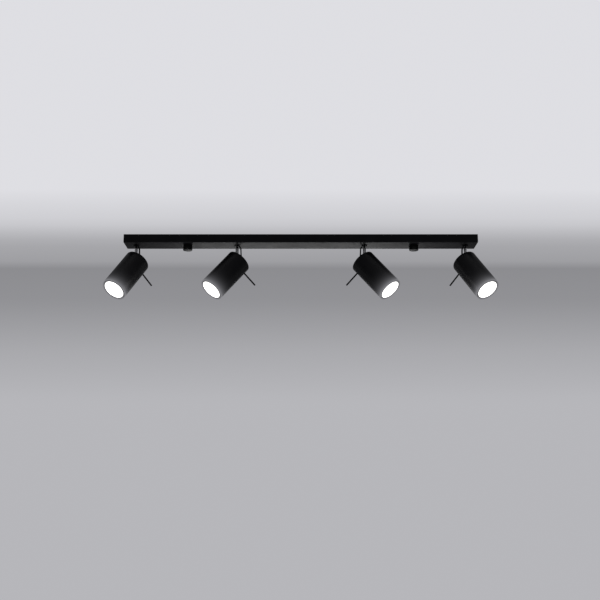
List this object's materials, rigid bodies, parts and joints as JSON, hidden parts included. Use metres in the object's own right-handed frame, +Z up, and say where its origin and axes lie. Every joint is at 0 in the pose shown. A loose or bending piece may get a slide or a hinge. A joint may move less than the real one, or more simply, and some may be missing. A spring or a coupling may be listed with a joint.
{
  "type": "four-spot ceiling bar",
  "caption": "Black ceiling bar with cylindrical spots that pan and tilt, each with a handle rod, an outer lead and a lit twist-lock lamp.",
  "frame": {"origin": "centre of the mounting strap's top face, on the ceiling plane", "axes": "+X along the bar, +Z up into the ceiling, -Y towards the front of the room"},
  "size_m": [0.8788, 0.1061, 0.1502],
  "materials": {
    "black_paint": "fine matte powder coat",
    "zinc_plate": "zinc plated",
    "bright_metal": "polished",
    "steel": "plain turned steel",
    "black_rubber": "smooth insulation",
    "wire_insulation": "heat-resistant sleeving",
    "white_ceramic": "unglazed ceramic look",
    "lamp_shell": "satin",
    "lamp_lens": "frosted, lit"
  },
  "bodies": {
    "bar": {"bar_housing": "black_paint", "mounting_strap": "zinc_plate", "left_stud": "zinc_plate", "left_wiring_loom": "wire_insulation", "right_stud": "zinc_plate", "right_wiring_loom": "wire_insulation", "terminal_block": "white_ceramic", "earth_screw": "steel"},
    "left_nut": {"left_finger_nut": "black_paint"},
    "right_nut": {"right_finger_nut": "black_paint"},
    "spot1_swivel": {"spot1_swivel_stem": "black_paint", "spot1_swivel_nut": "steel", "spot1_tilt_link": "bright_metal", "spot1_lead": "black_rubber"},
    "spot1_head": {"spot1_barrel": "black_paint", "spot1_carrier": "zinc_plate", "spot1_pivot_pin": "steel", "spot1_lead_grommet": "black_rubber", "spot1_handle": "black_paint", "spot1_lamp_holder": "white_ceramic"},
    "spot1_lamp": {"spot1_lamp_body": "lamp_shell", "spot1_lamp_lens": "lamp_lens"},
    "spot2_swivel": {"spot2_swivel_stem": "black_paint", "spot2_swivel_nut": "steel", "spot2_tilt_link": "bright_metal", "spot2_lead": "black_rubber"},
    "spot2_head": {"spot2_barrel": "black_paint", "spot2_carrier": "zinc_plate", "spot2_pivot_pin": "steel", "spot2_lead_grommet": "black_rubber", "spot2_handle": "black_paint", "spot2_lamp_holder": "white_ceramic"},
    "spot2_lamp": {"spot2_lamp_body": "lamp_shell", "spot2_lamp_lens": "lamp_lens"},
    "spot3_swivel": {"spot3_swivel_stem": "black_paint", "spot3_swivel_nut": "steel", "spot3_tilt_link": "bright_metal", "spot3_lead": "black_rubber"},
    "spot3_head": {"spot3_barrel": "black_paint", "spot3_carrier": "zinc_plate", "spot3_pivot_pin": "steel", "spot3_lead_grommet": "black_rubber", "spot3_handle": "black_paint", "spot3_lamp_holder": "white_ceramic"},
    "spot3_lamp": {"spot3_lamp_body": "lamp_shell", "spot3_lamp_lens": "lamp_lens"},
    "spot4_swivel": {"spot4_swivel_stem": "black_paint", "spot4_swivel_nut": "steel", "spot4_tilt_link": "bright_metal", "spot4_lead": "black_rubber"},
    "spot4_head": {"spot4_barrel": "black_paint", "spot4_carrier": "zinc_plate", "spot4_pivot_pin": "steel", "spot4_lead_grommet": "black_rubber", "spot4_handle": "black_paint", "spot4_lamp_holder": "white_ceramic"},
    "spot4_lamp": {"spot4_lamp_body": "lamp_shell", "spot4_lamp_lens": "lamp_lens"}
  },
  "joints": [
    {"name": "left_nut_turn", "type": "hinge", "parent": "bar", "child": "left_nut", "pos_m": [-0.2575, 0, -0.025], "axis": [0, 0, 1], "continuous": true},
    {"name": "right_nut_turn", "type": "hinge", "parent": "bar", "child": "right_nut", "pos_m": [0.2575, 0, -0.025], "axis": [0, 0, 1], "continuous": true},
    {"name": "spot1_pan", "type": "hinge", "parent": "bar", "child": "spot1_swivel", "pos_m": [-0.375, 0, -0.02], "axis": [0, 0, 1], "range_deg": [-133.5, 216.5]},
    {"name": "spot1_tilt", "type": "hinge", "parent": "spot1_swivel", "child": "spot1_head", "pos_m": [-0.375, 0, -0.0605], "axis": [-0.749, 0.6626, 0], "range_deg": [-39, 21], "deforming": ["spot1_lead"]},
    {"name": "spot1_lamp_twist", "type": "hinge", "parent": "spot1_head", "child": "spot1_lamp", "pos_m": [-0.375, 0, -0.0605], "axis": [0.417, 0.4713, 0.7771], "range_deg": [0, 25]},
    {"name": "spot2_pan", "type": "hinge", "parent": "bar", "child": "spot2_swivel", "pos_m": [-0.145, 0, -0.02], "axis": [0, 0, 1], "range_deg": [-113.5, 236.5]},
    {"name": "spot2_tilt", "type": "hinge", "parent": "spot2_swivel", "child": "spot2_head", "pos_m": [-0.145, 0, -0.0605], "axis": [-0.4772, 0.8788, 0], "range_deg": [-42, 18], "deforming": ["spot2_lead"]},
    {"name": "spot2_lamp_twist", "type": "hinge", "parent": "spot2_head", "child": "spot2_lamp", "pos_m": [-0.145, 0, -0.0605], "axis": [0.588, 0.3193, 0.7431], "range_deg": [0, 25]},
    {"name": "spot3_pan", "type": "hinge", "parent": "bar", "child": "spot3_swivel", "pos_m": [0.145, 0, -0.02], "axis": [0, 0, 1], "range_deg": [-236.5, 113.5]},
    {"name": "spot3_tilt", "type": "hinge", "parent": "spot3_swivel", "child": "spot3_head", "pos_m": [0.145, 0, -0.0605], "axis": [-0.4772, -0.8788, 0], "range_deg": [-42, 18], "deforming": ["spot3_lead"]},
    {"name": "spot3_lamp_twist", "type": "hinge", "parent": "spot3_head", "child": "spot3_lamp", "pos_m": [0.145, 0, -0.0605], "axis": [-0.588, 0.3193, 0.7431], "range_deg": [0, 25]},
    {"name": "spot4_pan", "type": "hinge", "parent": "bar", "child": "spot4_swivel", "pos_m": [0.375, 0, -0.02], "axis": [0, 0, 1], "range_deg": [-216.5, 133.5]},
    {"name": "spot4_tilt", "type": "hinge", "parent": "spot4_swivel", "child": "spot4_head", "pos_m": [0.375, 0, -0.0605], "axis": [-0.749, -0.6626, 0], "range_deg": [-39, 21], "deforming": ["spot4_lead"]},
    {"name": "spot4_lamp_twist", "type": "hinge", "parent": "spot4_head", "child": "spot4_lamp", "pos_m": [0.375, 0, -0.0605], "axis": [-0.417, 0.4713, 0.7771], "range_deg": [0, 25]}
  ]
}
